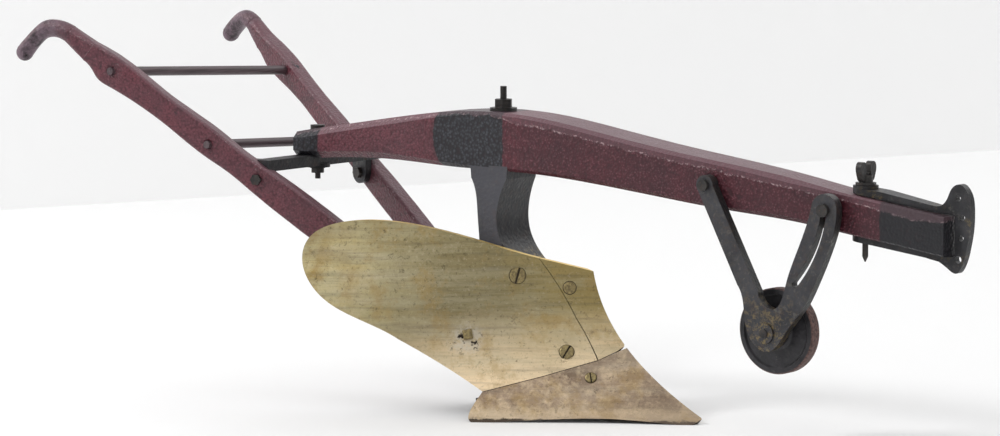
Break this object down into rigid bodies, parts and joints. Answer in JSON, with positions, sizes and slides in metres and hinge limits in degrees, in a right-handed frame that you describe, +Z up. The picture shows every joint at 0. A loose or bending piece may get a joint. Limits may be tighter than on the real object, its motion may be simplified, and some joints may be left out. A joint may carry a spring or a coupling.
{
  "type": "moldboard plough",
  "caption": "Model of a walking plough: curved wooden beam, bent handles on rungs, brass mouldboard and share on an iron standard, slotted gauge wheel bracket and a swinging hake.",
  "frame": {"origin": "centre of the bounding box at floor level", "axes": "+X forward to the hake, +Y to the plough's left (landside), +Z up"},
  "size_m": [0.7264, 0.2446, 0.2685],
  "materials": {
    "painted_wood": "oxblood red paint on wood, pebbled and worn, with black bands",
    "dark_wood": "dark stained turned wood",
    "brass": "worn brushed brass with a brown tarnish",
    "black_iron": "black painted cast iron, worn",
    "dark_steel": "darkened steel"
  },
  "bodies": {
    "frame": {"beam": "painted_wood", "handle_right": "painted_wood", "handle_left": "painted_wood", "upper_rung": "dark_wood", "lower_rung": "dark_wood", "mouldboard": "brass", "shin": "brass", "share": "brass", "standard": "black_iron", "landside": "black_iron", "mouldboard_brace": "black_iron", "handle_bracket": "black_iron", "standard_stud": "dark_steel", "bracket_bolt": "dark_steel", "right_bracket_bolt": "dark_steel", "left_bracket_bolt": "dark_steel", "right_foot_bolt": "dark_steel", "left_foot_bolt": "dark_steel", "gauge_pivot_bolt": "dark_steel", "gauge_slot_bolt": "dark_steel", "hake_pin": "dark_steel", "hake_washer": "dark_steel", "wing_nut": "dark_steel"},
    "gauge_arm": {"gauge_bracket": "black_iron", "gauge_axle": "dark_steel"},
    "gauge_wheel": {"gauge_wheel": "black_iron"},
    "hake": {"hake": "black_iron"}
  },
  "joints": [
    {"name": "gauge_tilt", "type": "hinge", "parent": "frame", "child": "gauge_arm", "pos_m": [0.16973, -0.01616, 0.1707], "axis": [0, -1, 0], "range_deg": [0, 24]},
    {"name": "gauge_wheel_spin", "type": "hinge", "parent": "gauge_arm", "child": "gauge_wheel", "pos_m": [0.21873, -0.00166, 0.0742], "axis": [0, 1, 0], "continuous": true},
    {"name": "hake_swing", "type": "hinge", "parent": "frame", "child": "hake", "pos_m": [0.28173, 0.00434, 0.155], "axis": [0, 0, 1], "range_deg": [-10, 10]}
  ]
}
